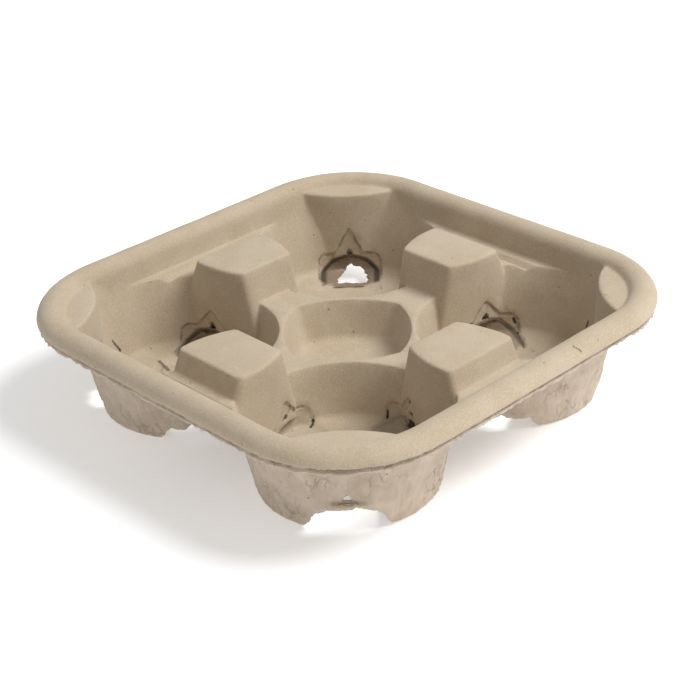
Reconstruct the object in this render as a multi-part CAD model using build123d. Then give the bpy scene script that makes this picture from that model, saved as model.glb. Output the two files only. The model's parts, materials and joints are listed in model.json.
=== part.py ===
from build123d import *
import math
import os

# Four-cup carrier moulded from paper pulp: one sheet of even wall with four round cup wells,
# a centre basin, four towers between the wells and a rolled rim. Z is up, the origin is at the
# middle of the base, and the sides of the carrier lie along X and Y. Millimetres.

# Overall sizes
side = 215.0             # over the rim, both ways
height = 50.0            # ground to the crest of the rim
sheet = 2.0              # wall of the moulded sheet
cornerRadius = 49.7      # outer corners of the rim, in plan

# Rim: a half-round bead with a lip turned down outside it
beadWidth = 12.9         # across the bead, in plan
beadRounding = 6.4       # radius over the bead, outside and inside
rimLean = 10.0           # degrees the rim's inner side leans from upright
lipDrop = 9.2            # crest to the lower edge of the lip
lipBand = 2.6            # height of the plain band below the bead
lipStep = 0.7            # how far the band stands in from the bead
panDepth = 4.0           # crest of the rim down to the towers and corner pads

# Cup wells
wellOffset = 49.9        # well axis from the carrier's middle, along X and along Y
wellFloorHeight = 7.0    # ground to the top of the floor, which stands on a foot all round
wellFootRadius = 36.8    # outside of the foot, on the ground
wellDraft = 11.0         # degrees, lower wall
wellFlareHeight = 26.0   # where the wall starts to lean out more
wellFlareDraft = 19.0    # degrees, upper wall
wellFlareBlend = 60.0    # radius between the lower and upper wall
wellFillet = 3.5         # floor to wall, on the upper face
footFillet = 2.4         # outer lower edge of the foot
recessRadius = 33.0      # hollow under the floor, inside the foot, at the ground
recessDraft = 20.0       # degrees
recessFillet = 2.0

# Corner pads: flat lands at the four corners that bulge into the wells
padCrest = 107.0         # crest of the bulge from the middle, along the diagonal
padBulgeRadius = 50.0
padDraft = 2.5

# Towers between neighbouring wells
towerInner = 49.8        # near end of a tower's top from the middle
towerOuter = 76.5        # far end of a tower's top
towerInnerHalf = 14.2    # half width of the top at the near end
towerOuterHalf = 19.0    # half width of the top at the far end
towerBulge = 2.2         # how far each side of the top bows out
towerInnerDraft = 12.0   # degrees, near end
towerSideDraft = 2.0     # degrees, sides
towerOuterDraft = 21.0   # degrees, far end
towerCornerFillet = 3.0
topEdgeFillet = 1.4      # upper edges of the towers and pads

# Middle of the carrier
landHeight = 30.5        # ridges between the basin and the wells
landHalf = 60.0          # half side of the square that the ridges lie in, out under the towers
basinHalf = 27.6         # middle of a basin side from the carrier's middle, at the ridges
basinCorner = 31.5       # basin corner from the carrier's middle, at the ridges
basinFloorHeight = 13.0
basinDraft = 17.0        # degrees
basinCornerFillet = 5.0  # upright corners
basinFloorFillet = 4.0   # floor to sides

# Shelf between a tower and the rim, with a groove along it
shelfHeight = 37.0
shelfHalfLength = 48.0   # the ends lie inside the wells
shelfInner = 72.0        # hidden under the tower, so that the two overlap
grooveMiddle = 86.5
grooveWidth = 5.0
grooveDepth = 2.4
grooveHalfLength = 31.0

# Crowns: thin, crown-shaped windows at the foot of the well walls, with a torn arch through them
crownHalf = 15.2
crownShoulder = 15.0     # height of the shoulders
crownShoulderHalf = 13.4
crownNeckHalf = 5.6
crownNeckHeight = 18.0
crownPointOuter = 28.5   # height of the point, at the carrier's corners
crownPointInner = 23.5   # height of the point, beside the towers
crownWeb = 1.1           # sheet left inside a crown
crownInnerEnd = 12.5     # from the well's axis to where a crown starts, in the floor
crownOuterEnd = 45.0     # how far out its cuts run, past the wall
archInnerEnd = 20.0      # from the well's axis to where the torn arch starts, in the floor
archHalf = 14.3          # torn arch, up to where it starts to curve
archSpring = 6.0
archTop = 12.6
archFootRounding = 6.5   # the foot is rounded off on each side of the arch
holeHalf = 2.2           # small hole under the point
holeBottom = 14.6
holeTop = 17.8
crownAngles = {          # degrees from the outward diagonal, by well quadrant
    (1, 1): (0, 105, -105),
    (-1, -1): (0, 105, -105),
    (1, -1): (0, 131, -131),
    (-1, 1): (0, 131, -131),
}

above = 20.0             # how far cutting bodies stand clear of the crest

quadrants = [(1, 1), (-1, 1), (-1, -1), (1, -1)]


def roundedSquare(half, radius):
    return RectangleRounded(2 * half, 2 * half, radius)


def wellSpace(grown):
    """air in one well at the origin; grown by the sheet it is the outside of the wall and foot"""
    low = 0 if grown == sheet else wellFloorHeight - grown
    leaning = math.tan(math.radians(wellDraft))
    flaring = math.tan(math.radians(wellFlareDraft))
    wallRadius = wellFootRadius - (sheet - grown) / math.cos(math.radians(wellDraft))
    top = height + above
    flareRadius = wallRadius + wellFlareHeight * leaning
    points = [
        (0, low),
        (wallRadius + low * leaning, low),
        (flareRadius, wellFlareHeight),
        (flareRadius + (top - wellFlareHeight) * flaring, top),
        (0, top),
    ]
    profile = make_face(Polyline(*points, close=True))
    corner = profile.vertices().sort_by_distance((*points[1], 0))[0]
    profile = fillet(corner, footFillet if grown == sheet else wellFillet + grown)
    kink = profile.vertices().sort_by_distance((*points[2], 0))[0]
    profile = fillet(kink, wellFlareBlend)
    return revolve(Plane.XZ * profile, axis=Axis.Z)


def floorRecess():
    """hollow under the floor of one well, inside its foot"""
    hollow = extrude(Circle(recessRadius), amount=wellFloorHeight - sheet, taper=recessDraft)
    return fillet(hollow.edges().sort_by(Axis.Z)[-1], recessFillet)


def towerBody(grown):
    """one tower, pointing along +X, shrunk by the sheet for the lower face"""
    top = height - panDepth - grown
    bottom = -1.0
    sections = []
    for z in (bottom, top):
        fall = top - z
        inner = towerInner + grown - fall * math.tan(math.radians(towerInnerDraft))
        outer = towerOuter - grown + fall * math.tan(math.radians(towerOuterDraft))
        spread = fall * math.tan(math.radians(towerSideDraft)) - grown
        slope = (towerOuterHalf - towerInnerHalf) / (towerOuter - towerInner)
        halfInner = towerInnerHalf + spread + (inner - towerInner) * slope
        halfOuter = towerOuterHalf + spread + (outer - towerOuter) * slope
        middle = ((inner + outer) / 2, (halfInner + halfOuter) / 2 + towerBulge)
        outline = [
            ThreePointArc((inner, halfInner), middle, (outer, halfOuter)),
            Line((outer, halfOuter), (outer, -halfOuter)),
            ThreePointArc((outer, -halfOuter), (middle[0], -middle[1]), (inner, -halfInner)),
            Line((inner, -halfInner), (inner, halfInner)),
        ]
        sections.append(Pos(0, 0, z) * make_face(outline))
    body = loft(sections, ruled=True)
    corners = [e for e in body.edges() if abs(e.tangent_at(0.5).Z) > 0.5]
    body = fillet(corners, towerCornerFillet - grown / 2)
    if grown == 0:
        body = fillet(body.faces().sort_by(Axis.Z)[-1].edges(), topEdgeFillet)
    return body


def padBody(grown):
    """corner pad on the +X diagonal"""
    top = height - panDepth - grown
    radius = padBulgeRadius - grown
    centre = padCrest + padBulgeRadius
    foot = radius + (top + 1) * math.tan(math.radians(padDraft))
    body = Pos(centre, 0, -1) * extrude(Circle(foot), amount=top + 1, taper=padDraft)
    if grown == 0:
        body = fillet(body.faces().sort_by(Axis.Z)[-1].edges(), topEdgeFillet)
    return body


def basinSpace(grown):
    """pincushion basin: its corners point at the towers and its sides bow inward"""
    low = basinFloorHeight - grown
    sections = []
    for z in (low, landHeight + 1):
        fall = (landHeight - z) * math.tan(math.radians(basinDraft))
        reachCorner = basinCorner + grown * 1.03 - fall
        reachSide = (basinHalf + grown * 1.03 - fall)
        corners = [(reachCorner * math.cos(a), reachCorner * math.sin(a))
                   for a in (0, math.pi / 2, math.pi, 1.5 * math.pi)]
        outline = []
        for i in range(4):
            a = math.pi / 4 + i * math.pi / 2
            middle = (reachSide * math.cos(a), reachSide * math.sin(a))
            outline.append(ThreePointArc(corners[i], middle, corners[(i + 1) % 4]))
        sections.append(Pos(0, 0, z) * make_face(outline))
    basin = loft(sections, ruled=True)
    upright = [e for e in basin.edges() if abs(e.tangent_at(0.5).Z) > 0.5]
    basin = fillet(upright, basinCornerFillet + grown)
    return fillet(basin.faces().sort_by(Axis.Z)[0].edges(), basinFloorFillet + grown)


def shelfSpace(grown):
    """step between the tower on +X and the rim, with a groove along it"""
    low = shelfHeight - grown
    outer = side / 2 - beadWidth / 2
    length = outer - shelfInner
    rise = height + above - low
    floor = Rectangle(length, 2 * (shelfHalfLength + grown))
    step = Pos((outer + shelfInner) / 2, 0, low) * extrude(floor, amount=rise)
    halfGroove = grooveWidth / 2 + grown * 0.45
    channel = Polyline((-halfGroove, 0), (0, -grooveDepth), (halfGroove, 0), (halfGroove, 2),
                       (-halfGroove, 2), close=True)
    run = 2 * (grooveHalfLength + grown)
    groove = extrude(Plane.XZ * make_face(channel), amount=run)
    return step + Pos(grooveMiddle, run / 2, low) * groove


def beadRing(bottom, shrunk):
    """solid ring under the rolled rim, shrunk by the sheet for its lower face"""
    outline = roundedSquare(side / 2 - shrunk, cornerRadius - shrunk)
    rise = height - shrunk - bottom
    lean = math.radians(rimLean)
    rounding = beadRounding - shrunk
    crest = rounding * (1 + math.tan((math.pi / 2 - lean) / 2))
    inset = crest + shrunk + rise * math.tan(lean)
    hole = roundedSquare(side / 2 - inset, cornerRadius - inset)
    ring = Pos(0, 0, bottom) * extrude(outline, amount=rise)
    ring -= Pos(0, 0, bottom) * extrude(hole, amount=rise, taper=-rimLean)
    top = ring.faces().sort_by(Axis.Z)[-1].edges()
    return fillet(top, rounding - 0.05)


def airSpace(grown):
    """all the air above the sheet, grown by the sheet's wall for its lower face"""
    top = height + above
    panFloor = height - panDepth - grown
    toCrest = side / 2 - beadWidth / 2
    pan = roundedSquare(toCrest, cornerRadius - beadWidth / 2)
    space = Pos(0, 0, panFloor) * extrude(pan, amount=top - panFloor)
    land = landHeight - grown
    space += Pos(0, 0, land) * extrude(Rectangle(2 * landHalf, 2 * landHalf), amount=top - land)
    well = wellSpace(grown)
    for sx, sy in quadrants:
        space += Pos(sx * wellOffset, sy * wellOffset, 0) * well
    shelf, tower, pad = shelfSpace(grown), towerBody(grown), padBody(grown)
    for quarter in range(4):
        space += Rot(0, 0, 90 * quarter) * shelf
    space -= beadRing(landHeight, grown)
    for quarter in range(4):
        space -= Rot(0, 0, 90 * quarter) * tower
        space -= Rot(0, 0, 90 * quarter + 45) * pad
    return space + basinSpace(grown)


def rimCap():
    """the rolled rim with its lip, down to the level of the pads inside and the lip outside"""
    lipBottom = height - lipDrop
    cap = beadRing(lipBottom, 0) - beadRing(lipBottom - 1, sheet)
    inner = roundedSquare(side / 2 - beadWidth / 2, cornerRadius - beadWidth / 2)
    belowPads = height - panDepth - sheet - lipBottom
    cap -= Pos(0, 0, lipBottom) * extrude(inner, amount=belowPads)
    band = roundedSquare(side / 2, cornerRadius)
    band -= roundedSquare(side / 2 - lipStep, cornerRadius - lipStep)
    return cap - Pos(0, 0, lipBottom) * extrude(band, amount=lipBand)


def moulding():
    """the plain sheet, before the crowns are cut"""
    upper = airSpace(0)
    lower = airSpace(sheet) & Pos(0, 0, height / 2 - sheet / 4) * Box(side, side, height - sheet / 2)
    carrier = (rimCap() + lower) - upper
    recess = floorRecess()
    for sx, sy in quadrants:
        carrier -= Pos(sx * wellOffset, sy * wellOffset, 0) * recess
    return carrier


def wellTool(outline, start):
    """prism along +X, from the given distance from the well's axis out through its wall"""
    face = Plane.YZ * make_face(outline)
    return Pos(start, 0, 0) * extrude(face, amount=crownOuterEnd - start)


def crownWindow(point):
    """outline of a crown: straight sides, shoulders and a point at the given height"""
    half = [
        (crownHalf, -1),
        (crownHalf, crownShoulder - 2),
        (crownShoulderHalf, crownShoulder),
        (crownNeckHalf + 1.5, crownShoulder + 0.6),
        (crownNeckHalf, crownNeckHeight),
        (0.8, point),
    ]
    points = half + [(-y, z) for y, z in reversed(half)]
    return wellTool(Polyline(*points, close=True), crownInnerEnd)


def crownOpenings():
    """the torn arch, open across the floor too, and the small hole above it"""
    flare = archHalf + archFootRounding
    right = [(archHalf, archSpring), (archHalf + archFootRounding * 0.3, archSpring * 0.3)]
    left = [(-y, z) for y, z in right]
    outline = [
        ThreePointArc(left[0], (0, archTop), right[0]),
        ThreePointArc(right[0], right[1], (flare, -1)),
        Line((flare, -1), (-flare, -1)),
        ThreePointArc((-flare, -1), left[1], left[0]),
    ]
    hole = Polyline((-holeHalf, holeBottom), (holeHalf, holeBottom), (0, holeTop), close=True)
    return [wellTool(outline, archInnerEnd), wellTool(hole, archInnerEnd)]


def crownPlaces():
    """each crown's place, from its well's axis and the way it faces, and its point's height"""
    places = []
    for sx, sy in quadrants:
        outward = math.degrees(math.atan2(sy, sx))
        for angle in crownAngles[(sx, sy)]:
            place = Pos(sx * wellOffset, sy * wellOffset, 0) * Rot(0, 0, outward + angle)
            places.append((place, crownPointInner if angle else crownPointOuter))
    return places


if __name__ == "__main__":
    os.makedirs("parts", exist_ok=True)
    carrier = moulding()
    thinned = airSpace(sheet - crownWeb)
    windows = {point: crownWindow(point) for point in (crownPointOuter, crownPointInner)}
    openings = crownOpenings()
    for place, point in crownPlaces():
        carrier -= thinned & (place * windows[point])
        for opening in openings:
            carrier -= place * opening
    carrier.label = "carrier"
    export_step(carrier, "parts/carrier.step")
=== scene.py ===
import json
import math

import bpy
import numpy as np
from mathutils import Matrix, Vector
from mathutils.bvhtree import BVHTree


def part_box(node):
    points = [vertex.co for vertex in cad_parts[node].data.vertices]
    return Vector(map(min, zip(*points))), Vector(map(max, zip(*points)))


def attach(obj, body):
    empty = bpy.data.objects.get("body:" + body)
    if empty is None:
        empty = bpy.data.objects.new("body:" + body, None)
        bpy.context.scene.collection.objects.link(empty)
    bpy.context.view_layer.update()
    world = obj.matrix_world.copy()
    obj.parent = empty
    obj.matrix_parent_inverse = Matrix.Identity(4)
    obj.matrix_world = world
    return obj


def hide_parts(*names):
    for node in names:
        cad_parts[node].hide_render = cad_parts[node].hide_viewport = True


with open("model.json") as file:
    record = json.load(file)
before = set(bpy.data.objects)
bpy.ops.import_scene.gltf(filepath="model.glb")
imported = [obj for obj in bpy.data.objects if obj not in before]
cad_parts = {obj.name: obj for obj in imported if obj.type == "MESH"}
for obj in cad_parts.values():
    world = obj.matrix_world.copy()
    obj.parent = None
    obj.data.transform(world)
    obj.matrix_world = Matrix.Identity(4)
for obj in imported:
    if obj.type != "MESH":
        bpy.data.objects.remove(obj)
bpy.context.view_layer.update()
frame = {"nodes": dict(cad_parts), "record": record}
carrierLow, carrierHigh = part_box("carrier")
middle = (carrierLow + carrierHigh) / 2
mm = 0.001

# where the cups stand: the record gives the middle of each well's floor
wellFloors = {m["name"]: Vector(m["pos_m"]) for m in frame["record"]["mounts"]
              if m["name"].startswith("cup_seat")}

cameraValues = {
    "azimuth": 46.46,        # degrees round the carrier
    "elevation": 28.85,      # degrees above the table
    "roll": -2.59,
    "place": (0.44988, -0.42645, 0.33641),   # from the middle of the carrier's box
    "lens": 84.3,            # mm, on the sensor below
    "sensor": 36.0,
    "clip": (0.01, 20),
}


def makeCamera(values):
    azimuth, elevation, roll = (math.radians(values[k]) for k in ("azimuth", "elevation", "roll"))
    back = Vector((math.sin(azimuth) * math.cos(elevation), -math.cos(azimuth) * math.cos(elevation),
                   math.sin(elevation)))
    right = Vector((math.cos(azimuth), math.sin(azimuth), 0))
    up = back.cross(right)
    turnedRight = right * math.cos(roll) + up * math.sin(roll)
    turnedUp = up * math.cos(roll) - right * math.sin(roll)
    data = bpy.data.cameras.new("camera")
    data.lens = values["lens"]
    data.sensor_width = values["sensor"]
    data.clip_start, data.clip_end = values["clip"]
    camera = bpy.data.objects.new("camera", data)
    bpy.context.scene.collection.objects.link(camera)
    turn = Matrix((turnedRight, turnedUp, back)).transposed().to_4x4()
    camera.matrix_world = Matrix.Translation(middle + Vector(values["place"])) @ turn
    bpy.context.scene.camera = camera


makeCamera(cameraValues)
print("camera placed")


# smooth noise in space, the same on every run: one value from -1 to 1 for each point
def spaceNoise(points, size, seed):
    grid = points / size
    cell = np.floor(grid).astype(np.int64)
    part = grid - cell
    ease = part * part * (3 - 2 * part)
    total = np.zeros(len(points))
    for corner in range(8):
        step = np.array([corner & 1, corner >> 1 & 1, corner >> 2 & 1])
        at = cell + step
        mixed = (at[:, 0] * 73856093) ^ (at[:, 1] * 19349663) ^ (at[:, 2] * 83492791) ^ (seed * 2654435)
        mixed = (mixed ^ (mixed >> 13)) * 1274126177 & 0x7FFFFFFF
        mixed = (mixed ^ (mixed >> 16)) & 0xFFFF
        weight = np.prod(np.where(step == 1, ease, 1 - ease), axis=1)
        total += weight * (mixed / 32767.5 - 1)
    return total


# crowns: the thin torn windows at the foot of the wells, three in each
crownValues = {
    "turns": {"sideWells": (0, 105, -105), "endWells": (0, 131, -131)},   # degrees from outward
    "halfWidth": 0.0152,
    "shoulderHalf": 0.0134,
    "shoulderHeight": 0.0150,
    "neckHalf": 0.0056,
    "neckHeight": 0.0180,
    "pointOuter": 0.0285,    # height of the point at the carrier's corners
    "pointInner": 0.0235,    # height of the point beside the towers
    "wallRadius": 0.0354,    # middle of the wall, on the ground
    "wallLean": 0.194,
    "archHalf": 0.0143,
    "archTop": 0.0126,
    "floorMiddle": 0.0062,   # height of the middle of the well's floor
    "sill": 0.0172,          # from the well's axis to the open part of the floor
    "near": 0.019,           # how far round a crown its lines reach
}


def crownFrames(values):
    frames = []
    for name, floor in sorted(wellFloors.items()):
        side = "sideWells" if floor.x * floor.y > 0 else "endWells"
        outward = math.atan2(floor.y, floor.x)
        for turn in values["turns"][side]:
            angle = outward + math.radians(turn)
            out = np.array([math.cos(angle), math.sin(angle), 0])
            across = np.array([-math.sin(angle), math.cos(angle), 0])
            frames.append({"well": name, "turn": turn, "axis": np.array([floor.x, floor.y, 0]),
                           "out": out, "across": across,
                           "point": values["pointInner"] if turn else values["pointOuter"]})
    return frames


crowns = crownFrames(crownValues)

# how strongly each crown's painted shade shows, where it isn't the usual amount
crownShadeStrength = {
    ("cup_seat_left_back", 0): 1.0,
    ("cup_seat_left_front", -105): 0.8,
    ("cup_seat_right_back", 105): 0.7,
    ("cup_seat_right_front", -131): 0.12,
    ("cup_seat_right_front", 131): 0.2,
}
usualShadeStrength = 0.4

# thin torn flaps left in the arches. Each hole is drawn flat, in mm: across the crown, and along
# the sheet from the foot of the wall, up the wall above 0 and in over the floor below 0
flapValues = {
    "thickness": 0.0011,
    "grain": 0.00045,        # cell of the flap's net
    "ragged": 0.0007,        # how much the torn edge wanders
    "setBack": 0.0006,       # how far the flap lies behind the wall
    "bulge": 0.0012,         # how much further its middle is pushed outward
    "inner": -0.0175,        # where the flap ends in the floor
    "overlap": 0.0012,       # how far it runs on past the arch
    "plugHalf": 0.0033,      # the flap's narrow top, which fills the small hole
    "plugStart": 0.0076,
    "plugTop": 0.0124,
    "swellMiddle": 0.002,    # the middle of the bulge, along the sheet
    "swellReach": 0.008,
    "swellDrop": 0.4,        # how much the bulge sags
    "wanderCell": 0.0017,    # size of the wander in the torn edge
    "fineCell": 0.0008,
    "fineShare": 0.6,
    "firstSeed": 11,
    "seedStep": 7,
    "holes": {
        "closed": [],
        "farCorner": [(6.4, -15.4), (5.6, -10), (3.4, -4), (2.2, 0.4), (0.2, 2.6), (-2.6, 2.0),
                      (-5.8, 0.2), (-8.0, -4), (-9.0, -10), (-9.2, -15.0)],
        "nearCorner": [(15, -18), (15, 4.6), (9, 5.6), (0, 6.3), (-9, 5.4), (-15, 4.4), (-15, -18)],
        "tornLow": [(9, -16), (7.4, -6), (8.2, -1), (3.0, 1.6), (-1.4, 0.4), (-5.2, 2.2), (-9, -3),
                    (-8.0, -9), (-10, -16)],
    },
}

# the torn shape of each flap, where it isn't the usual low one
flapHoles = {
    ("cup_seat_left_back", 0): "farCorner",
    ("cup_seat_right_front", 0): "nearCorner",
    ("cup_seat_right_front", -131): "closed",
    ("cup_seat_right_front", 131): "closed",
    ("cup_seat_left_front", -105): "closed",
    ("cup_seat_right_back", 105): "closed",
}

openHole = ("cup_seat_right_front", 0)       # the one crown whose small hole stays open


# True for the points inside a closed outline
def insideOutline(points, outline):
    inside = np.zeros(len(points), bool)
    x, y = points[:, 0], points[:, 1]
    for (x0, y0), (x1, y1) in zip(outline, outline[1:] + outline[:1]):
        crosses = (y0 > y) != (y1 > y)
        at = x0 + (y - y0) / ((y1 - y0) if y1 != y0 else 1e-9) * (x1 - x0)
        inside ^= crosses & (x < at)
    return inside


def flapPoint(values, crown, across, along):
    v = crownValues
    height = v["floorMiddle"] + max(along, 0.0)
    reach = v["wallRadius"] + v["wallLean"] * height
    out = math.sqrt(reach * reach - across * across) + min(along, 0.0)
    swell = max(0.0, 1 - abs(across) / v["archHalf"])
    swell *= max(0.0, 1 - abs(along - values["swellMiddle"]) / values["swellReach"])
    push = values["setBack"] * (0 < along < values["plugStart"]) + values["bulge"] * swell
    spot = crown["axis"] + crown["out"] * (out + push) + crown["across"] * across
    return (spot[0], spot[1], height - values["swellDrop"] * push)


def makeFlap(values, crown, outline, seed):
    cell = values["grain"]
    half = crownValues["archHalf"] + values["overlap"]
    low, high = values["inner"], values["plugTop"]
    shoulder = crownValues["archTop"] - crownValues["floorMiddle"] + values["overlap"]
    columns, rows = int(2 * half / cell), int((high - low) / cell)
    across = -half + cell * (np.arange(columns) + 0.5)
    along = low + cell * (np.arange(rows) + 0.5)
    middles = np.array([(a, b, 0.0) for b in along for a in across])
    flat = np.zeros(len(middles))
    wander = np.stack([spaceNoise(middles, values["wanderCell"], seed),
                       spaceNoise(middles, values["wanderCell"], seed + 1), flat], axis=1)
    fine = np.stack([spaceNoise(middles, values["fineCell"], seed + 2),
                     spaceNoise(middles, values["fineCell"], seed + 3), flat], axis=1)
    moved = middles + values["ragged"] * (wander + values["fineShare"] * fine)
    hole = [(a * mm, b * mm) for a, b in outline]
    keep = middles[:, 1] < shoulder
    if (crown["well"], crown["turn"]) != openHole:
        keep |= np.abs(middles[:, 0]) < values["plugHalf"]
    if hole:
        keep &= ~insideOutline(moved, hole)
    vertices, faces, index = [], [], {}

    def corner(column, row):
        if (column, row) not in index:
            index[(column, row)] = len(vertices)
            spot = flapPoint(values, crown, -half + cell * column, low + cell * row)
            vertices.append(spot)
        return index[(column, row)]

    for row in range(rows):
        for column in range(columns):
            if keep[row * columns + column]:
                faces.append((corner(column, row), corner(column + 1, row),
                              corner(column + 1, row + 1), corner(column, row + 1)))
    mesh = bpy.data.meshes.new("flap")
    mesh.from_pydata(vertices, [], faces)
    mesh.validate()
    flap = bpy.data.objects.new("flap", mesh)
    bpy.context.scene.collection.objects.link(flap)
    thick = flap.modifiers.new("thick", "SOLIDIFY")
    thick.thickness = values["thickness"]
    thick.offset = 0
    return flap


flaps = []
for number, crown in enumerate(crowns):
    kind = flapHoles.get((crown["well"], crown["turn"]), "tornLow")
    seed = flapValues["firstSeed"] + flapValues["seedStep"] * number
    flaps.append(makeFlap(flapValues, crown, flapValues["holes"][kind], seed))
print("flaps made:", len(flaps))

# the moulded shell: the CAD body and the flaps felted into one skin
shellValues = {
    "voxel": 0.0005,
    "softening": 4,          # rounds of smoothing over the fresh skin
    "triangles": 190000,
    "roughLift": 0.00030,    # unevenness of the under side
    "wrinkleLift": 0.00042,  # upright wrinkles outside the wells
    "smoothLift": 0.00009,   # unevenness of the upper side
    "basinHalf": 0.033,      # the centre basin and the towers' outer slopes face up, so they stay smooth
    "towerHalf": 0.036,
    "towerOuter": 0.076,
    "cornerRadius": 0.0497,  # of the rim, in plan
    "grooveHeight": 0.0428,  # groove round the outside of the rim, over its lip
    "grooveWidth": 0.0008,
    "grooveDepth": 0.0011,
    "grooveReach": 0.0045,   # how far in from the rim's edge the groove may act
    "stillHeight": 0.0005,   # nothing is lifted up to here, so the feet stay flat
    "stillFade": 0.001,
    "wellReach": 0.034,      # the outside of a well lies at least this far from its axis
    "rimStart": 0.041,       # and below the rim
    "slopeStart": 0.025,
    "sharpness": 3,          # how fast the rough side gives way to the smooth one
    "lumps": [(0.6, 0.0045, 1), (0.5, 0.0019, 2), (0.35, 0.0011, 3)],   # share, size, seed
    "gentle": [(1.0, 0.009, 6), (0.5, 0.0034, 7)],
    "wrinkles": [(1.0, 0.0023, 4), (0.4, 0.0012, 5)],
    "wrinkleStretch": (0.037, 0.28, 0.2),     # round the well, upward and outward
    "wrinkleLevel": 0.3,
    "maskRounds": 2,         # rounds of blurring where the two sides meet
    "flapInward": 0.3,
    "flapHeight": 0.03,
}


def applyModifiers(piece):
    depsgraph = bpy.context.evaluated_depsgraph_get()
    made = bpy.data.meshes.new_from_object(piece.evaluated_get(depsgraph))
    old = piece.data
    piece.modifiers.clear()
    piece.data = made
    bpy.data.meshes.remove(old)


def joinMeshes(name, pieces):
    vertices, faces, start = [], [], 0
    depsgraph = bpy.context.evaluated_depsgraph_get()
    for piece in pieces:
        mesh = bpy.data.meshes.new_from_object(piece.evaluated_get(depsgraph))
        vertices += [tuple(v.co) for v in mesh.vertices]
        faces += [tuple(start + i for i in p.vertices) for p in mesh.polygons]
        start = len(vertices)
        bpy.data.meshes.remove(mesh)
    mesh = bpy.data.meshes.new(name)
    mesh.from_pydata(vertices, [], faces)
    made = bpy.data.objects.new(name, mesh)
    bpy.context.scene.collection.objects.link(made)
    return made


def meshPoints(mesh):
    points = np.zeros(len(mesh.vertices) * 3)
    mesh.vertices.foreach_get("co", points)
    return points.reshape(-1, 3)


def meshNormals(mesh):
    normals = np.zeros(len(mesh.vertices) * 3, np.float32)
    mesh.vertex_normals.foreach_get("vector", normals)
    return normals.reshape(-1, 3).astype(float)


# 1 on the under side and outside of the wells, 0 on the side that faces up
def underMask(values, mesh, points, normals):
    corners = [v.co for v in mesh.vertices]
    tree = BVHTree.FromPolygons(corners, [p.vertices for p in mesh.polygons])
    up = Vector((0, 0, 1))
    starts = points + normals * values["voxel"]
    hidden = np.array([tree.ray_cast(Vector(s), up)[0] is not None for s in starts], float)
    return spread(mesh, hidden, values["maskRounds"])


# averages a value with the neighbouring points
def spread(mesh, value, rounds):
    edges = np.zeros(len(mesh.edges) * 2, np.int64)
    mesh.edges.foreach_get("vertices", edges)
    a, b = edges.reshape(-1, 2).T
    count = np.bincount(a, minlength=len(value)) + np.bincount(b, minlength=len(value)) + 1
    for _ in range(rounds):
        total = value + np.bincount(a, value[b], len(value)) + np.bincount(b, value[a], len(value))
        value = total / count
    return value


# 1 in the groove under the rolled edge, fading out above and below it
def lipGroove(values, points):
    half = carrierHigh.x - middle.x
    corner = np.abs(points[:, :2] - np.array(middle)[:2]) - (half - values["cornerRadius"])
    outside = np.hypot(*np.maximum(corner, 0).T) + np.minimum(corner.max(axis=1), 0)
    away = (points[:, 2] - values["grooveHeight"]) / values["grooveWidth"]
    return np.exp(-away * away) * (outside > values["cornerRadius"] - values["grooveReach"])


# each point's place in its nearest crown, that crown's point height, and how strongly the crown's painted
# shade shows there
def nearestCrown(points):
    best = np.full(len(points), 1e9)
    local = np.zeros((len(points), 3))
    point, shadeStrength = np.zeros(len(points)), np.zeros(len(points))
    for crown in crowns:
        offset = points - crown["axis"]
        out, across = offset @ crown["out"], offset @ crown["across"]
        far = np.hypot(out - crownValues["wallRadius"], across)
        nearer = far < best
        best = np.where(nearer, far, best)
        local[nearer] = np.stack([across, out, points[:, 2]], axis=1)[nearer]
        point[nearer] = crown["point"]
        shadeStrength[nearer] = crownShadeStrength.get((crown["well"], crown["turn"]), usualShadeStrength)
    return local, point, shadeStrength * (best < crownValues["near"])


def layeredNoise(points, layers):
    return sum(share * spaceNoise(points, size, seed) for share, size, seed in layers)


# the nearest well's axis, for each point
def nearestAxis(points):
    axes = np.array([[f.x, f.y] for f in wellFloors.values()])
    return axes[np.argmin([np.hypot(points[:, 0] - x, points[:, 1] - y) for x, y in axes], axis=0)]


# how far each point of the fresh skin is lifted: rough and wrinkled below, gentle above
def unevenness(values, points, normals):
    z = points[:, 2]
    radial = points[:, :2] - nearestAxis(points)
    reach = np.hypot(radial[:, 0], radial[:, 1])
    facing = (normals[:, :2] * radial).sum(axis=1) / np.maximum(reach, 1e-6)
    less, more = np.sort(np.abs(points[:, :2]), axis=1).T
    basin = more < values["basinHalf"]
    tower = (less < values["towerHalf"]) & (more > values["towerOuter"])
    under = np.clip(facing * values["sharpness"], 0, 1)
    under *= (z < values["rimStart"]) * (reach > values["wellReach"])
    under *= ~(basin | (tower & (z > values["slopeStart"])))
    under = np.maximum(under, np.clip(-normals[:, 2] * values["sharpness"], 0, 1))
    around, upward, outward = values["wrinkleStretch"]
    angle = np.arctan2(radial[:, 1], radial[:, 0])
    drawn = np.stack([angle * around, z * upward, reach * outward], axis=1)
    wrinkles = np.clip(1 - 2 * np.abs(layeredNoise(drawn, values["wrinkles"])), -1, 1)
    lift = values["roughLift"] * layeredNoise(points, values["lumps"])
    lift = under * (lift + values["wrinkleLift"] * (wrinkles - values["wrinkleLevel"]))
    lift += (1 - under) * values["smoothLift"] * layeredNoise(points, values["gentle"])
    lift -= values["grooveDepth"] * lipGroove(values, points)
    return lift * np.clip((z - values["stillHeight"]) / values["stillFade"], 0, 1)


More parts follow.
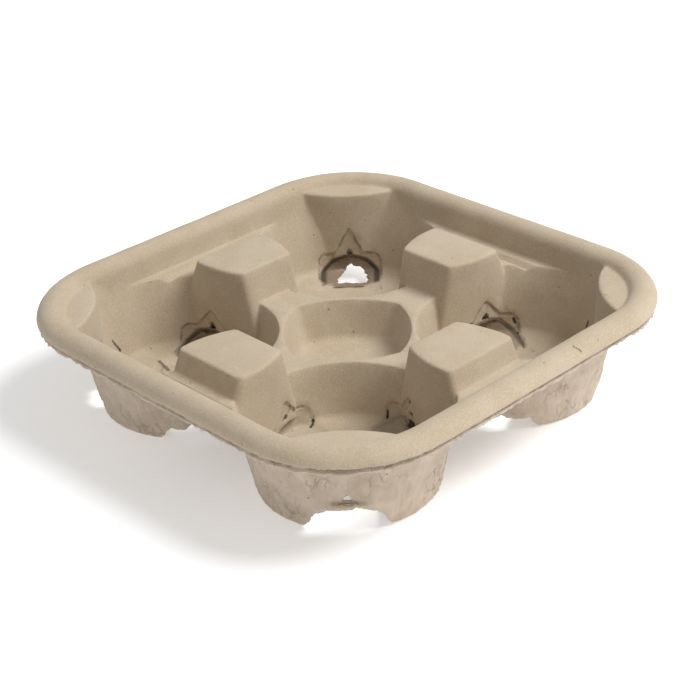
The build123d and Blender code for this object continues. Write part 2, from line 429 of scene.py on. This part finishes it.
# what the material needs to know at each point
def addMasks(values, mesh):
    points, normals = meshPoints(mesh), meshNormals(mesh)
    local, point, shadeStrength = nearestCrown(points)
    toAxis = nearestAxis(points) - points[:, :2]
    inward = (toAxis * normals[:, :2]).sum(axis=1) / np.maximum(np.hypot(*toAxis.T), 1e-6)
    # a flap that lies behind the wall is still part of the upper side
    flap = (shadeStrength > 0) & (inward > values["flapInward"]) & (points[:, 2] < values["flapHeight"])
    masks = {
        "underSide": underMask(values, mesh, points, normals) * ~flap,
        "crownPoint": point,
        "crownShadeStrength": shadeStrength,
        "lipGroove": lipGroove(values, points),
    }
    for name, amount in masks.items():
        attribute = mesh.attributes.new(name, "FLOAT", "POINT")
        attribute.data.foreach_set("value", amount.astype(np.float32))
    place = mesh.attributes.new("crownPlace", "FLOAT_VECTOR", "POINT")
    place.data.foreach_set("vector", local.astype(np.float32).ravel())


def makeShell(values):
    shell = joinMeshes("pulpShell", [frame["nodes"]["carrier"]] + flaps)
    skin = shell.modifiers.new("skin", "REMESH")
    skin.mode = "VOXEL"
    skin.voxel_size = values["voxel"]
    soften = shell.modifiers.new("soften", "SMOOTH")
    soften.factor = 0.5
    soften.iterations = values["softening"]
    applyModifiers(shell)
    print("skin points:", len(shell.data.vertices))
    points, normals = meshPoints(shell.data), meshNormals(shell.data)
    points = points + normals * unevenness(values, points, normals)[:, None]
    points = np.clip(points, np.array(carrierLow), np.array(carrierHigh))
    shell.data.vertices.foreach_set("co", points.ravel())
    shell.data.update()
    thin = shell.modifiers.new("thin", "DECIMATE")
    thin.ratio = values["triangles"] / (2 * len(shell.data.polygons))
    applyModifiers(shell)
    shell.data.shade_smooth()
    addMasks(values, shell.data)
    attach(shell, "root")
    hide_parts("carrier")
    return shell


shell = makeShell(shellValues)
for flap in flaps:
    bpy.data.objects.remove(flap)
print("shell made:", len(shell.data.polygons), "faces")


# small helpers for the node trees
class Nodes:
    def __init__(self, tree):
        self.tree = tree

    def add(self, kind, **settings):
        node = self.tree.nodes.new(kind)
        for name, value in settings.items():
            setattr(node, name, value)
        return node

    def feed(self, socket, value):
        if isinstance(value, bpy.types.NodeSocket):
            self.tree.links.new(value, socket)
        elif value is not None:
            socket.default_value = value

    def math(self, kind, a, b=None, c=None, clamp=False):
        node = self.add("ShaderNodeMath", operation=kind, use_clamp=clamp)
        for socket, value in zip(node.inputs, (a, b, c)):
            self.feed(socket, value)
        return node.outputs[0]

    def mix(self, share, a, b):
        node = self.add("ShaderNodeMix", data_type="RGBA")
        self.feed(node.inputs["Factor"], share)
        self.feed(node.inputs["A"], a)
        self.feed(node.inputs["B"], b)
        return node.outputs["Result"]

    def product(self, *parts):
        total = parts[0]
        for part in parts[1:]:
            total = self.math("MULTIPLY", total, part)
        return total

    def attribute(self, name, output="Fac"):
        return self.add("ShaderNodeAttribute", attribute_name=name).outputs[output]

    def group(self, tree, **given):
        node = self.add("ShaderNodeGroup")
        node.node_tree = tree
        for name, value in given.items():
            self.feed(node.inputs[name.replace("_", " ")], value)
        return node

    def bump(self, height, distance, normal=None, invert=False):
        node = self.add("ShaderNodeBump", invert=invert)
        node.inputs["Distance"].default_value = distance
        self.feed(node.inputs["Height"], height)
        self.feed(node.inputs["Normal"], normal)
        return node.outputs["Normal"]

    def ramp(self, value, low, high, start=0.0, end=1.0):
        node = self.add("ShaderNodeMapRange", interpolation_type="SMOOTHSTEP")
        for name, given in (("Value", value), ("From Min", low), ("From Max", high), ("To Min", start),
                            ("To Max", end)):
            self.feed(node.inputs[name], given)
        return node.outputs["Result"]

    def noise(self, vector, size, detail=3.0, rough=0.55, warp=0.0):
        node = self.add("ShaderNodeTexNoise")
        self.feed(node.inputs["Vector"], vector)
        self.feed(node.inputs["Scale"], size)
        node.inputs["Detail"].default_value = detail
        node.inputs["Roughness"].default_value = rough
        node.inputs["Distortion"].default_value = warp
        return node.outputs["Fac"]


def newGroup(name, inputs, outputs):
    tree = bpy.data.node_groups.new(name, "ShaderNodeTree")
    for label, kind, value in inputs:
        socket = tree.interface.new_socket(name=label, in_out="INPUT", socket_type=kind)
        if value is not None:
            socket.default_value = value
    for label, kind in outputs:
        tree.interface.new_socket(name=label, in_out="OUTPUT", socket_type=kind)
    n = Nodes(tree)
    return n, n.add("NodeGroupInput").outputs, n.add("NodeGroupOutput").inputs


fibreValues = {
    "warp": 2.2,             # how far the fibres bend
    "width": (0.022, 0.0),
    "sparse": (0.5, 0.68),
    "bendSize": 0.6,         # shares of the fibre scale
    "patchSize": 0.4,
    "rarity": 6.0,
    "speckSize": (0.06, 0.16),   # smallest, and how much larger, as shares of a cell
    "speckEdge": 0.07,
}


# pulp fibres: soft mottling, fine grain, thin pale fibres and scattered dark specks
def fibreGroup():
    v = fibreValues
    n, given, out = newGroup(
        "pulpFibres",
        [("Place", "NodeSocketVector", None), ("Mottle Scale", "NodeSocketFloat", 60.0),
         ("Grain Scale", "NodeSocketFloat", 1500.0), ("Fibre Scale", "NodeSocketFloat", 420.0),
         ("Speck Scale", "NodeSocketFloat", 330.0), ("Speck Amount", "NodeSocketFloat", 0.5)],
        [("Mottle", "NodeSocketFloat"), ("Grain", "NodeSocketFloat"), ("Fibres", "NodeSocketFloat"),
         ("Specks", "NodeSocketFloat")])
    place = given["Place"]
    n.feed(out["Mottle"], n.noise(place, given["Mottle Scale"], 4.0, 0.6))
    n.feed(out["Grain"], n.noise(place, given["Grain Scale"], 3.0, 0.65))
    bend = n.noise(place, n.math("MULTIPLY", given["Fibre Scale"], v["bendSize"]), 2.0, 0.6, v["warp"])
    line = n.math("ABSOLUTE", n.math("SUBTRACT", bend, 0.5))
    patch = n.noise(place, n.math("MULTIPLY", given["Fibre Scale"], v["patchSize"]))
    n.feed(out["Fibres"], n.product(n.ramp(line, *v["width"]), n.ramp(patch, *v["sparse"])))
    cells = n.add("ShaderNodeTexVoronoi", feature="F1")
    n.feed(cells.inputs["Vector"], place)
    n.feed(cells.inputs["Scale"], given["Speck Scale"])
    chosen = n.add("ShaderNodeSeparateColor")
    n.feed(chosen.inputs["Color"], cells.outputs["Color"])
    rarity = n.math("MULTIPLY", chosen.outputs["Red"], v["rarity"])
    few = n.math("GREATER_THAN", given["Speck Amount"], rarity)
    least, more = v["speckSize"]
    size = n.math("MULTIPLY_ADD", chosen.outputs["Green"], more, least)
    dot = n.ramp(n.math("SUBTRACT", size, cells.outputs["Distance"]), 0.0, v["speckEdge"])
    n.feed(out["Specks"], n.product(dot, few))
    return n.tree


lineValues = {
    "wander": 0.0016,        # how far the torn lines stray, in metres
    "wanderRise": -0.7,
    "foot": -0.004,          # the outline starts below the floor
    "shoulderDrop": 0.002,
    "neckFlare": 0.0015,
    "neckRise": 0.0006,
    "tipHalf": 0.0004,
    "arch": [(0.0146, 0.0055), (0.0078, 0.0116), (0.0, 0.0142)],   # across and height
    "archWidth": (0.0018, 0.0004),
    "sillWidth": (0.0009, 0.0003),
    "sillTop": 0.0022,       # above the floor's middle
    "sillMargin": 0.0003,
    "wallSlope": 0.25,       # the lines keep to the wall and the rim of the floor
    "wallFrom": (0.0095, 0.0125),
    "mouthTop": 0.0136,      # the open part of the arch, under a parabola
    "mouthCurve": -36.0,
}


# dark torn line round a crown and its arch, from the crown's own coordinates: painted shade in the slits
# and under the arch's edge, with masks of the crown's inside and the arch's open mouth, where shade is
# painted too
def crownLineGroup(values):
    v = crownValues
    n, given, out = newGroup(
        "crownLines",
        [("Across", "NodeSocketFloat", 0.0), ("Out", "NodeSocketFloat", 0.0),
         ("Height", "NodeSocketFloat", 0.0), ("Point", "NodeSocketFloat", 0.0285),
         ("Wander", "NodeSocketFloat", 0.0), ("Line Width", "NodeSocketFloat", 0.0006)],
        [("Line", "NodeSocketFloat"), ("Inside", "NodeSocketFloat"), ("Arch", "NodeSocketFloat"),
         ("Mouth", "NodeSocketFloat")])
    shift = n.math("MULTIPLY", given["Wander"], values["wander"])
    across = n.math("ADD", n.math("ABSOLUTE", given["Across"]), shift)
    height = n.math("ADD", given["Height"], n.math("MULTIPLY", shift, values["wanderRise"]))
    gap = n.math("SUBTRACT", given["Point"], v["pointOuter"])
    shoulder = v["shoulderHeight"]
    sides = [(v["halfWidth"], values["foot"]), (v["halfWidth"], shoulder - values["shoulderDrop"]),
             (v["shoulderHalf"], shoulder),
             (v["neckHalf"] + values["neckFlare"], shoulder + values["neckRise"]),
             (v["neckHalf"], v["neckHeight"]), (values["tipHalf"], v["pointOuter"])]

    # distance to one stretch of an outline; the stretch to the tip follows the crown's point
    def toStretch(x0, z0, x1, z1, tip):
        dx = x1 - x0
        dz = n.math("SUBTRACT", n.math("ADD", gap, z1), z0) if tip else z1 - z0
        px, pz = n.math("SUBTRACT", across, x0), n.math("SUBTRACT", height, z0)
        dot = n.math("ADD", n.math("MULTIPLY", px, dx), n.math("MULTIPLY", pz, dz))
        length = n.math("ADD", n.math("MULTIPLY", dz, dz), dx * dx) if tip else dx * dx + dz * dz
        share = n.math("DIVIDE", dot, length, clamp=True)
        qx = n.math("SUBTRACT", px, n.math("MULTIPLY", share, dx))
        qz = n.math("SUBTRACT", pz, n.math("MULTIPLY", share, dz))
        return n.math("SQRT", n.math("ADD", n.math("MULTIPLY", qx, qx), n.math("MULTIPLY", qz, qz)))

    def toOutline(outline, tipped):
        nearest = None
        last = len(outline) - 2
        for number, ((x0, z0), (x1, z1)) in enumerate(zip(outline, outline[1:])):
            far = toStretch(x0, z0, x1, z1, tipped and number == last)
            nearest = far if nearest is None else n.math("MINIMUM", nearest, far)
        return nearest

    lean = n.math("SUBTRACT", given["Out"], n.math("MULTIPLY", given["Height"], values["wallSlope"]))
    wall = n.ramp(lean, *values["wallFrom"])
    line = n.ramp(toOutline(sides, True), given["Line Width"], 0.0)
    n.feed(out["Line"], n.product(line, wall))

    body = n.math("LESS_THAN", across, v["halfWidth"])
    below = n.math("LESS_THAN", height, shoulder)
    slope = (v["pointOuter"] - v["neckHeight"]) / v["neckHalf"]
    gable = n.math("LESS_THAN", n.math("MULTIPLY_ADD", across, slope, height), given["Point"])
    neck = n.product(gable, n.math("LESS_THAN", across, v["neckHalf"]))
    n.feed(out["Inside"], n.product(n.math("MAXIMUM", n.product(body, below), neck), wall))

    # the arch line and the sill line mark painted shade: the shadowed ground seen under the arch and past
    # the floor's open edge
    width = n.math("LESS_THAN", across, v["archHalf"] + values["sillMargin"])
    low = n.math("LESS_THAN", height, v["floorMiddle"] + values["sillTop"])
    fromSill = n.math("ABSOLUTE", n.math("SUBTRACT", given["Out"], v["sill"]))
    sill = n.product(n.ramp(fromSill, *values["sillWidth"]), width, low)
    arch = n.product(n.ramp(toOutline(values["arch"], False), *values["archWidth"]), wall)
    n.feed(out["Arch"], n.math("MAXIMUM", arch, sill))

    # the mouth is where shade is painted in the open part of the arch
    curve = n.math("MULTIPLY", across, across)
    curve = n.math("MULTIPLY_ADD", curve, values["mouthCurve"], values["mouthTop"])
    beyond = n.math("GREATER_THAN", given["Out"], v["sill"])
    n.feed(out["Mouth"], n.product(n.math("LESS_THAN", height, curve), width, beyond))
    return n.tree


# mask of a torn stroke: 1 on the way between two points, with a ragged edge
def strokeGroup():
    n, given, out = newGroup(
        "tornStroke",
        [("Place", "NodeSocketVector", None), ("Start", "NodeSocketVector", None),
         ("End", "NodeSocketVector", None), ("Width", "NodeSocketFloat", 0.001),
         ("Core", "NodeSocketFloat", 0.45), ("Wander", "NodeSocketFloat", 0.0)],
        [("Mask", "NodeSocketFloat")])

    def vector(kind, a, b):
        node = n.add("ShaderNodeVectorMath", operation=kind)
        n.feed(node.inputs[0], a)
        n.feed(node.inputs[1], b)
        return node.outputs["Value" if kind == "DOT_PRODUCT" else "Vector"]

    way = vector("SUBTRACT", given["End"], given["Start"])
    gone = vector("SUBTRACT", given["Place"], given["Start"])
    length = vector("DOT_PRODUCT", way, way)
    share = n.math("DIVIDE", vector("DOT_PRODUCT", gone, way), length, clamp=True)
    rest = n.add("ShaderNodeVectorMath", operation="SCALE")
    n.feed(rest.inputs[0], way)
    n.feed(rest.inputs["Scale"], share)
    off = vector("SUBTRACT", gone, rest.outputs["Vector"])
    far = n.math("SQRT", vector("DOT_PRODUCT", off, off))
    far = n.math("MULTIPLY_ADD", given["Wander"], given["Width"], far)
    core = n.math("MULTIPLY", given["Width"], given["Core"])
    n.feed(out["Mask"], n.ramp(far, given["Width"], core))
    return n.tree


# painted shade in torn slits, dark pockets and creases: two ends and a half width, in mm, and how dark it
# is
shadeStrokes = [
    ((15.9, -37.0, 7.9), (18.0, -40.4, 6.2), 0.9, 1.0),
    ((15.2, -35.6, 10.5), (15.9, -37.0, 7.9), 0.6, 0.7),
    ((51.9, -15.2, 21.5), (47.5, -13.6, 14.0), 0.9, 0.75),
    ((51.6, -12.6, 12.5), (49.0, -12.4, 8.0), 3.4, 0.95),
    ((37.2, -14.2, 11.0), (38.4, -16.0, 4.0), 0.8, 1.0),
    ((-86.4, -61.5, 18.7), (-86.0, -58.4, 13.2), 0.7, 0.8),
    ((-86.0, -58.4, 13.2), (-83.5, -56.5, 7.5), 0.8, 0.9),
    ((-73.7, -46.8, 7.0), (-64.2, -49.3, 7.0), 1.0, 0.7),
    ((-71.9, -19.4, 11.8), (-67.2, -18.2, 13.2), 2.1, 0.95),
    ((26.1, 79.3, 12.6), (29.4, 78.2, 7.2), 0.9, 1.0),
    ((29.4, 78.2, 7.2), (40.5, 69.5, 7.0), 0.7, 0.65),
    ((62.5, 86.5, 20.5), (60.2, 85.2, 12.0), 0.7, 0.8),
    ((103.9, 23.3, 49.4), (105.9, 24.8, 47.8), 0.45, 0.5),
    ((105.9, 24.8, 47.8), (107.2, 25.8, 41.3), 0.45, 0.6),
]

# sizes of patterns are counts to the metre; a ramp is where it starts, where it ends, and its values
pulpValues = {
    "upper": (0.500, 0.412, 0.300, 1),       # smooth side
    "upperPale": (0.56, 0.475, 0.36, 1),
    "upperDark": (0.455, 0.365, 0.255, 1),
    "upperMottle": (0.36, 0.64),
    "paleGrain": (0.48, 0.66, 0.0, 0.75),
    "darkGrain": (0.48, 0.34, 0.0, 0.7),
    "fibreShare": 0.35,
    "upperSpecks": 0.6,
    "under": (0.52, 0.425, 0.325, 1),        # rough side, a little pinker
    "underPale": (0.60, 0.50, 0.40, 1),
    "underMottle": (0.35, 0.65),
    "underPattern": {"Mottle_Scale": 110.0, "Grain_Scale": 900.0, "Speck_Scale": 260.0,
                     "Speck_Amount": 1.1},
    "underSpecks": 0.8,
    "crackSize": 210.0,      # crackle on the rough side
    "crackStretch": (1.0, 1.0, 0.55),
    "crackWarpSize": 260.0,
    "crackWarp": 0.004,
    "crackWidth": (0.09, 0.0),
    "crackPatchSize": 95.0,
    "crackPatch": (0.47, 0.62),
    "crackShare": 0.34,
    "speck": (0.16, 0.105, 0.06, 1),
    # patchy painted shade inside the crowns
    "torn": (0.045, 0.028, 0.014, 1),
    # painted shade in the torn slits of the crown outlines, along the arch edge and in the strokes
    "tornFibre": (0.34, 0.25, 0.16, 1),
    # painted shade, inside the torn arches and in the rim's groove
    "tornDeep": (0.17, 0.115, 0.07, 1),      # inside the torn arches and the rim's groove
    "raggedSize": 420.0,
    "lineWidth": 0.0008,     # metres
    "lineBreakupSize": 230.0,
    "lineBreakup": (0.38, 0.6, 0.25, 1.0),
    "patchSize": 300.0,
    "patch": (0.45, 0.7, 0.1, 0.55),
    "mouthShare": 0.75,
    "lineShare": 0.5,
    "archShare": 0.9,
    "strokeWander": 2.2,
    "strokeShare": 0.95,
    "brokenSize": 160.0,     # the dark of the rim's groove comes and goes
    "broken": (0.4, 0.62, 0.35, 1.0),
    "grooveShare": 0.8,
    "fibreLift": 0.3,
    "mottleLift": 0.8,
    "crackDrop": 0.5,
    "grainBump": 0.0001,     # metres
    "roughBump": 0.00035,
    "lineBump": 0.0004,
    "gloss": (0.3, 0.7, 0.86, 0.97),
}


# colour of the smooth side
def upperColour(n, values, fibres):
    mottle, grain = fibres.outputs["Mottle"], fibres.outputs["Grain"]
    colour = n.mix(n.ramp(mottle, *values["upperMottle"]), values["upperDark"], values["upper"])
    colour = n.mix(n.ramp(grain, *values["paleGrain"]), colour, values["upperPale"])
    colour = n.mix(n.ramp(grain, *values["darkGrain"]), colour, values["upperDark"])
    share = n.math("MULTIPLY", fibres.outputs["Fibres"], values["fibreShare"])
    return n.mix(share, colour, values["upperPale"])


# fine crackle of the rough side
def crackles(n, values, place):
    warp = n.add("ShaderNodeTexNoise")
    n.feed(warp.inputs["Vector"], place)
    warp.inputs["Scale"].default_value = values["crackWarpSize"]
    warp.inputs["Detail"].default_value = 3.0
    moved = n.add("ShaderNodeVectorMath", operation="MULTIPLY_ADD")
    n.feed(moved.inputs[0], warp.outputs["Color"])
    moved.inputs[1].default_value = (values["crackWarp"],) * 3
    n.feed(moved.inputs[2], place)
    stretch = n.add("ShaderNodeMapping", vector_type="POINT")
    stretch.inputs["Scale"].default_value = values["crackStretch"]
    n.feed(stretch.inputs["Vector"], moved.outputs[0])
    cells = n.add("ShaderNodeTexVoronoi", feature="DISTANCE_TO_EDGE")
    n.feed(cells.inputs["Vector"], stretch.outputs[0])
    cells.inputs["Scale"].default_value = values["crackSize"]
    patchy = n.ramp(n.noise(place, values["crackPatchSize"], 2.0), *values["crackPatch"])
    return n.product(n.ramp(cells.outputs["Distance"], *values["crackWidth"]), patchy)


def pulpMaterial(values):
    material = bpy.data.materials.new("mouldedPulp")
    material.use_nodes = True
    tree = material.node_tree
    tree.nodes.clear()
    n = Nodes(tree)
    place = n.add("ShaderNodeTexCoord").outputs["Object"]
    under = n.attribute("underSide")
    upper = n.math("SUBTRACT", 1.0, under)

    fibreTree = fibreGroup()
    fibres = n.group(fibreTree, Place=place)
    rough = n.group(fibreTree, Place=place, **values["underPattern"])
    crackLine = crackles(n, values, place)
    underMottle = n.ramp(rough.outputs["Mottle"], *values["underMottle"])
    underColour = n.mix(underMottle, values["under"], values["underPale"])
    crackShare = n.math("MULTIPLY", crackLine, values["crackShare"])
    underColour = n.mix(crackShare, underColour, values["speck"])
    colour = n.mix(under, upperColour(n, values, fibres), underColour)
    specks = n.add("ShaderNodeMix", data_type="FLOAT")
    n.feed(specks.inputs["Factor"], under)
    n.feed(specks.inputs["A"], n.math("MULTIPLY", fibres.outputs["Specks"], values["upperSpecks"]))
    n.feed(specks.inputs["B"], n.math("MULTIPLY", rough.outputs["Specks"], values["underSpecks"]))
    colour = n.mix(specks.outputs["Result"], colour, values["speck"])

    # the crowns, all in painted shade: the dark outline, patchy shade inside, the dark torn arch and the
    # shade in its open mouth
    crown = n.add("ShaderNodeSeparateXYZ")
    n.feed(crown.inputs[0], n.attribute("crownPlace", "Vector"))
    ragged = n.math("SUBTRACT", n.noise(place, values["raggedSize"], 4.0, 0.7), 0.5)
    lines = n.group(crownLineGroup(lineValues), Across=crown.outputs["X"], Out=crown.outputs["Y"],
                    Height=crown.outputs["Z"], Point=n.attribute("crownPoint"), Wander=ragged,
                    Line_Width=values["lineWidth"])
    # strength of each crown's painted shade, on the upper side only
    above = n.product(upper, n.attribute("crownShadeStrength"))
    lineBreakup = n.ramp(n.noise(place, values["lineBreakupSize"], 2.0), *values["lineBreakup"])
    # painted shade in the slits of each crown's outline, broken up by noise
    tornLine = n.product(lines.outputs["Line"], lineBreakup, above)
    # painted shade along the torn arch and across the sill
    archLine = n.product(lines.outputs["Arch"], above)
    patches = n.ramp(n.noise(place, values["patchSize"], 4.0, 0.7), *values["patch"])
    # patchy painted shade inside each crown's outline
    crownShadePatches = n.product(lines.outputs["Inside"], patches, above)
    # painted shade in the open part of each arch
    mouth = n.product(lines.outputs["Mouth"], above, values["mouthShare"])
    colour = n.mix(crownShadePatches, colour, values["tornFibre"])
    colour = n.mix(mouth, colour, values["tornDeep"])
    colour = n.mix(n.math("MULTIPLY", tornLine, values["lineShare"]), colour, values["torn"])
    colour = n.mix(n.math("MULTIPLY", archLine, values["archShare"]), colour, values["torn"])

    strokeTree = strokeGroup()
    wander = n.math("MULTIPLY", ragged, values["strokeWander"])
    # mask of all the painted shade lines, also sunk a little by the bump below
    torn = n.math("MAXIMUM", tornLine, archLine)
    # painted shade along each stroke, on the upper side only
    for start, end, width, depth in shadeStrokes:
        stroke = n.group(strokeTree, Place=place, Start=[v * mm for v in start],
                         End=[v * mm for v in end], Width=width * mm, Wander=wander)
        mask = n.product(stroke.outputs["Mask"], upper)
        colour = n.mix(n.math("MULTIPLY", mask, values["strokeShare"] * depth), colour, values["torn"])
        torn = n.math("MAXIMUM", torn, mask)
    # painted shade in the groove under the rim's rolled edge, broken up by noise
    broken = n.ramp(n.noise(place, values["brokenSize"], 3.0, 0.7), *values["broken"])
    groove = n.product(n.attribute("lipGroove"), broken, values["grooveShare"])
    colour = n.mix(groove, colour, values["tornDeep"])

    grain = n.math("MULTIPLY_ADD", fibres.outputs["Fibres"], values["fibreLift"], fibres.outputs["Grain"])
    heave = n.math("MULTIPLY_ADD", rough.outputs["Mottle"], values["mottleLift"], rough.outputs["Grain"])
    heave = n.math("SUBTRACT", heave, n.math("MULTIPLY", crackLine, values["crackDrop"]))
    normal = n.bump(grain, values["grainBump"])
    normal = n.bump(n.product(heave, under), values["roughBump"], normal)
    normal = n.bump(torn, values["lineBump"], normal, invert=True)

    shader = n.add("ShaderNodeBsdfPrincipled")
    n.feed(shader.inputs["Base Color"], colour)
    n.feed(shader.inputs["Roughness"], n.ramp(fibres.outputs["Grain"], *values["gloss"]))
    shader.inputs["Specular IOR Level"].default_value = 0.25
    shader.inputs["Sheen Weight"].default_value = 0.12
    shader.inputs["Sheen Roughness"].default_value = 0.6
    n.feed(shader.inputs["Normal"], normal)
    n.feed(n.add("ShaderNodeOutputMaterial").inputs["Surface"], shader.outputs[0])
    return material


shell.data.materials.clear()
shell.data.materials.append(pulpMaterial(pulpValues))
frame["nodes"]["carrier"].data.materials.clear()
frame["nodes"]["carrier"].data.materials.append(shell.data.materials[0])
print("material made")

studioValues = {
    "floorSize": 12.0,
    "floorColour": (0.93, 0.93, 0.93, 1),
    "floorGlow": 0.32,
    "worldStrength": 0.40,
    "keyPower": 27.0,
    "keySize": 0.9,
    "keyPlace": (0.75, 0.62, 1.35),   # from the middle of the carrier
    "fillPower": 1.5,
    "fillSize": 1.6,
    "fillPlace": (-0.2, -1.5, 1.0),
}


def softLight(name, place, size, power):
    data = bpy.data.lights.new(name, "AREA")
    data.shape = "DISK"
    data.size = size
    data.energy = power
    light = bpy.data.objects.new(name, data)
    bpy.context.scene.collection.objects.link(light)
    light.location = middle + Vector(place)
    light.rotation_euler = (-Vector(place)).to_track_quat("-Z", "Y").to_euler()


def makeStudio(values):
    half = values["floorSize"] / 2
    mesh = bpy.data.meshes.new("floor")
    mesh.from_pydata([(-half, -half, 0), (half, -half, 0), (half, half, 0), (-half, half, 0)], [],
                     [(0, 1, 2, 3)])
    floor = bpy.data.objects.new("floor", mesh)
    floor.location = (middle.x, middle.y, carrierLow.z)
    bpy.context.scene.collection.objects.link(floor)
    material = bpy.data.materials.new("floorWhite")
    material.use_nodes = True
    shader = material.node_tree.nodes["Principled BSDF"]
    shader.inputs["Base Color"].default_value = values["floorColour"]
    shader.inputs["Roughness"].default_value = 0.9
    shader.inputs["Emission Color"].default_value = (1, 1, 1, 1)
    shader.inputs["Emission Strength"].default_value = values["floorGlow"]
    mesh.materials.append(material)
    softLight("key", values["keyPlace"], values["keySize"], values["keyPower"])
    softLight("fill", values["fillPlace"], values["fillSize"], values["fillPower"])
    world = bpy.data.worlds.new("studio")
    world.use_nodes = True
    sky = world.node_tree.nodes["Background"]
    sky.inputs["Color"].default_value = (1, 1, 1, 1)
    sky.inputs["Strength"].default_value = values["worldStrength"]
    bpy.context.scene.world = world
    bpy.context.scene.view_settings.view_transform = "Standard"


makeStudio(studioValues)
print("studio lit")
